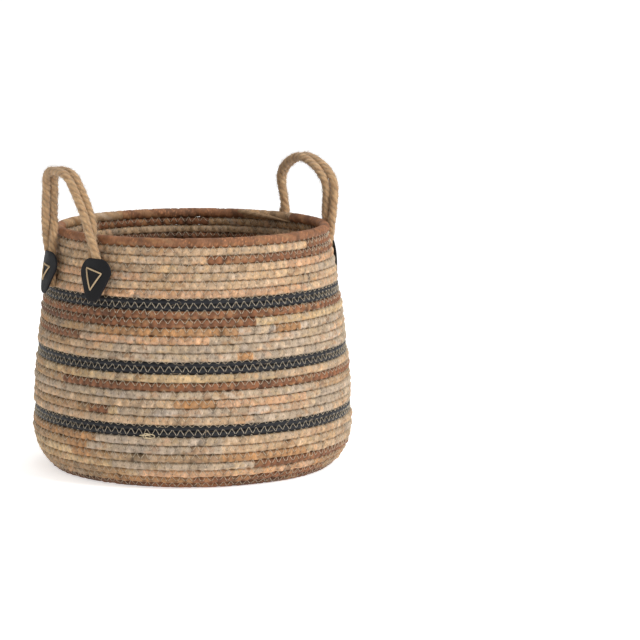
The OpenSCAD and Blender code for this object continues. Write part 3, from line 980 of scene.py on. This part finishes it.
# Corners of each patch's triangle: along the wall and up it, for (left, front).
CORNERS = {
    (True, True): [(-14.0, 15.5), (11.5, 9.0), (-4.0, -13.5)],
    (True, False): [(-13.0, 10.5), (9.0, 8.0), (-9.0, -11.5)],
    (False, True): [(-12.0, 13.0), (12.5, 11.0), (1.5, -14.0)],
    (False, False): [(-12.5, 10.0), (12.0, 12.5), (-1.5, -13.0)],
}


def cord_bulge(y, z):
    """How far the top of a patch is pushed out by the cords that come out from under it."""
    return 2.6 * np.clip((z - 4) / 22, 0, 1.3) ** 1.5 * np.exp(-(y / 15) ** 2)


def build_patch(left, front, seed):
    rng = np.random.default_rng(seed)
    name = f"{'left' if left else 'right'}_{'front' if front else 'back'}_patch"
    place = patch_frame(left, front)
    outline = patch_outline(14)
    corners = CORNERS[left, front]
    n = len(outline)
    rings = []
    phases = rng.uniform(0, TAU, 6)

    def ring(scale, depth):
        p = outline * scale
        y, z = p[:, 0], p[:, 1]
        warp = 0.35 * np.sin(y / 9 + phases[0]) * np.sin(z / 11 + phases[1])
        warp = warp + 0.25 * np.sin(z / 17 + phases[2])
        pull = sum(0.7 * np.exp(-((y - cy) ** 2 + (z - cz) ** 2) / 7) for cy, cz in corners)
        x = PATCH_GAP + depth - bent(y) + warp + cord_bulge(y, z) - (pull if depth > PATCH_T / 2 else 0)
        return place(np.stack([x, y, z], -1))

    edge = 1.1 / (PATCH_W / 2)
    for scale in (0.04, 0.12, 0.2, 0.3, 0.4, 0.48, 0.56, 0.64, 0.74, 0.84, 0.92):
        rings.append(ring(scale, PATCH_T))
    for a in np.linspace(90, -90, 9):
        r = math.radians(a)
        rings.append(ring(1 - edge * (1 - math.cos(r)), PATCH_T / 2 * (1 + math.sin(r))))
    for scale in (0.8, 0.5, 0.2, 0.04):
        rings.append(ring(scale, 0.0))
    faces = [grid_faces(len(rings), n, False), end_faces(len(rings), n)]
    ob = mesh_from(name + "_leather", np.concatenate(rings), faces)
    paint(ob, LEATHER_MATERIAL)
    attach(ob, "basket")
    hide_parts(name)
    build_patch_stitch(name, place, corners, rng)


def twisted_thread(paths, radius):
    """Points and faces of thick thread of three twisted plies, along smooth paths."""
    plies, lay, sides, step = 3, 5.0, 18, 0.45
    angle = round_section(sides)
    all_points, all_faces, start = [], [], 0
    for path in paths:
        path = resample(path, step)
        _, a, b = carried_frames(path)
        s = np.arange(len(path)) * step
        relief = np.abs(np.cos(plies / 2 * (angle[None] + TAU * s[:, None] / lay))) ** 0.8
        all_points.append(skin(path, a, b, radius * (0.8 + 0.24 * relief), angle).reshape(-1, 3))
        all_faces.append(grid_faces(len(path), sides, False, start))
        start += len(path) * sides
    return np.concatenate(all_points), np.concatenate(all_faces)


def build_patch_stitch(name, place, corners, rng):
    paths = []
    lift = PATCH_GAP + PATCH_T
    inner = -ROPE
    side_length = 27  # of a triangle, about
    for face, lay in ((1, lift), (-1, inner)):
        for i in range(3):
            (ya, za), (yb, zb) = corners[i], corners[(i + 1) % 3]
            q = np.linspace(0, 1, 25)
            y, z = ya + (yb - ya) * q, za + (zb - za) * q
            bow = np.sin(math.pi * q) ** 0.45
            side = rng.normal(0, 0.35)
            sag = side * np.sin(math.pi * q)
            y, z = y + sag * (zb - za) / side_length, z - sag * (yb - ya) / side_length
            if face > 0:
                x = lay - bent(y) + cord_bulge(y, z) - 1.2 + 2.0 * bow
            else:
                x = lay + 0.8 - 1.7 * bow
            paths.append(place(np.stack([x, y, z], -1)))
    # The stitches go through patch, cords and wall from corner to corner.
    for y, z in corners:
        x = np.linspace(inner + 0.2, lift - bent(y) - 0.6, 8)
        paths.append(place(np.stack([x, np.full(8, y), np.full(8, z)], -1)))
    points, faces = twisted_thread(paths, 1.0)
    ob = mesh_from(name + "_triangle_thread", points, [faces])
    paint(ob, PATCH_THREAD_MATERIAL)
    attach(ob, "basket")
    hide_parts(name + "_stitch")


# ---------------------------------------------------------------- loose ends
def build_rim_tail():
    """The tapered end of the tan rope that runs in under the rim, on the inside."""
    count, sides, step = 120, 16, 0.85
    u = np.radians(np.linspace(36, 5, count))
    q = np.linspace(0, 1, count)
    radius = RIM_R - RIM_ROPE / 2 + 2.6 - 4.4 * np.clip(q * 3, 0, 1) + 1.0 * q
    height = RIM_Z + 3.5 - 9.0 * q
    points = np.stack([radius * np.cos(u), radius * np.sin(u), height], -1)
    _, a, b = carried_frames(points)
    angle = round_section(sides)
    rng = np.random.default_rng(5)
    thick = 2.9 * (1 - q ** 2.2) + 0.35
    s = np.arange(count)[:, None] * step
    folds = 0.1 * np.sin(2 * angle[None] + s / 2.1) + 0.07 * np.sin(5 * angle[None] + s / 1.3 + 1)
    folds = folds + 0.05 * rng.normal(size=(count, sides))
    place = skin(points, a, b, thick[:, None] * (1 + folds), angle).reshape(-1, 3)
    ob = mesh_from("rim_rope_tail_end", place, [grid_faces(count, sides, False), end_faces(count, sides)])
    tone = np.tile(HUSK["tan"], (len(place), 1)) * (1 + 0.1 * rng.normal(size=(len(place), 1)))
    set_colour(ob.data, np.concatenate([np.clip(tone, 0, 1), np.zeros((len(place), 1))], 1))
    row, column = grid_corners(count, sides, False)
    set_uv(ob.data, np.stack([row * step, column * 1.1], -1).reshape(-1, 2))
    paint(ob, HUSK_MATERIAL)
    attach(ob, "basket")
    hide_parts("rim_rope_tail")


def build_strays():
    """Thin husk fibres that stick out of the ropes."""
    rng = np.random.default_rng(77)
    count = 1500
    u = rng.uniform(0, TAU, count)
    z = rng.uniform(8, BODY_H - 3, count)
    face = np.where(rng.uniform(size=count) < 0.78, 1, -1)
    r = np.array([outer_r(h) for h in z]) - np.where(face > 0, 0.4, ROPE - 0.4)
    r = np.minimum(r, np.where(z > BODY_H - 14, RIM_D / 2 - 0.5, 999))
    length = rng.uniform(3, 13, count)
    stand = np.abs(rng.normal(0, 0.32, count))
    sweep = rng.normal(0, 1, count)
    climb = rng.normal(0, 0.8, count)
    paths = []
    for q in np.linspace(0, 1, 5):
        rr = r + face * length * stand * q * 0.8
        uu = u + sweep * length * q / r * 0.8
        hh = np.clip(z + climb * length * q * 0.6 - 0.2 * length * q * q, 1, BODY_H + 8)
        paths.append(np.stack([rr * np.cos(uu), rr * np.sin(uu), hh], -1))
    radius = np.array([0.24, 0.22, 0.18, 0.13, 0.05])[None] * rng.uniform(0.6, 1.3, (count, 1))
    ob = tubes("stray_husk_fibres", np.stack(paths, 1), radius, 3)
    paint(ob, thread_material("stray_fibres", (0.58, 0.44, 0.29), 0.6))
    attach(ob, "basket")


def build_tuft():
    """A pale end of thread, curled into loops, that is caught on the lowest stripe."""
    course = COURSES[NATURAL_LOW]
    q = np.linspace(0, 1, 40)
    paths = []
    for wide, high, shift, turns in ((6.0, 2.6, 0.0, 1.0), (4.2, 3.4, -4.5, 0.8), (7.0, 1.2, -7.0, 0.45)):
        turn = TAU * turns * q
        u = CAMERA_SIDE + math.radians(-15) + (shift + wide * np.cos(turn)) / course.r
        z = course.z - 2.0 + high * np.sin(turn)
        r = course.r + course.d / 2 + 0.7 + 1.2 * np.sin(math.pi * q)
        paths.append(np.stack([r * np.cos(u), r * np.sin(u), z], -1))
    ob = tubes("caught_thread_tuft", paths, 0.62, 6)
    paint(ob, thread_material("tuft_thread", (0.66, 0.53, 0.33), 0.8))
    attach(ob, "basket")


# ---------------------------------------------------------------- stage
def build_stage():
    bpy.ops.mesh.primitive_plane_add(size=160, location=(0, 0, -0.0005))
    floor = bpy.context.object
    floor.name = "floor"
    material, _, shader = new_material("pale_floor")
    shader.inputs["Base Color"].default_value = (0.93, 0.93, 0.93, 1)
    shader.inputs["Roughness"].default_value = 0.9
    shader.inputs["Emission Color"].default_value = (1, 1, 1, 1)
    shader.inputs["Emission Strength"].default_value = 0.5
    paint(floor, material)
    world = bpy.data.worlds.new("studio")
    bpy.context.scene.world = world
    world.use_nodes = True
    background = world.node_tree.nodes["Background"]
    background.inputs[0].default_value = (1.0, 1.0, 1.0, 1)
    background.inputs[1].default_value = 0.6

    def area(name, place, size, power, target=(0, 0, 0.2)):
        light = bpy.data.lights.new(name, "AREA")
        light.shape, light.size, light.energy = "DISK", size, power
        ob = new_object(name, light)
        ob.location = place
        ob.rotation_euler = (Vector(target) - Vector(place)).to_track_quat("-Z", "Y").to_euler()

    right = np.array([-math.sin(CAMERA_SIDE), math.cos(CAMERA_SIDE)])
    ahead = np.array([-math.cos(CAMERA_SIDE), -math.sin(CAMERA_SIDE)])

    def at(r, a, z):
        p = right * r + ahead * a
        return (p[0], p[1], z)

    area("key", at(1.9, -1.3, 1.9), 1.1, 50)
    area("fill", at(-2.2, -1.8, 1.2), 2.2, 4)
    area("top", at(0.2, 0.6, 2.6), 1.6, 14)


def build_camera():
    camera = new_object("camera", bpy.data.cameras.new("camera"))
    camera.data.lens = CAMERA_LENS
    camera.data.sensor_width = 36
    x, y = CAMERA_AWAY * math.cos(CAMERA_SIDE), CAMERA_AWAY * math.sin(CAMERA_SIDE)
    camera.location = (x, y, CAMERA_HEIGHT)
    turn = CAMERA_SIDE + math.radians(90 - CAMERA_ASIDE)
    camera.rotation_euler = (math.radians(90 - CAMERA_DOWN), 0, turn)
    bpy.context.scene.camera = camera


build_camera()
build_stage()
build_wall()
build_base()
build_threads()
build_handles()
for number, (is_left, is_front) in enumerate(((True, True), (True, False), (False, True), (False, False))):
    build_patch(is_left, is_front, 20 + number)
build_rim_tail()
build_strays()
build_tuft()
bpy.context.scene.view_settings.view_transform = "Standard"
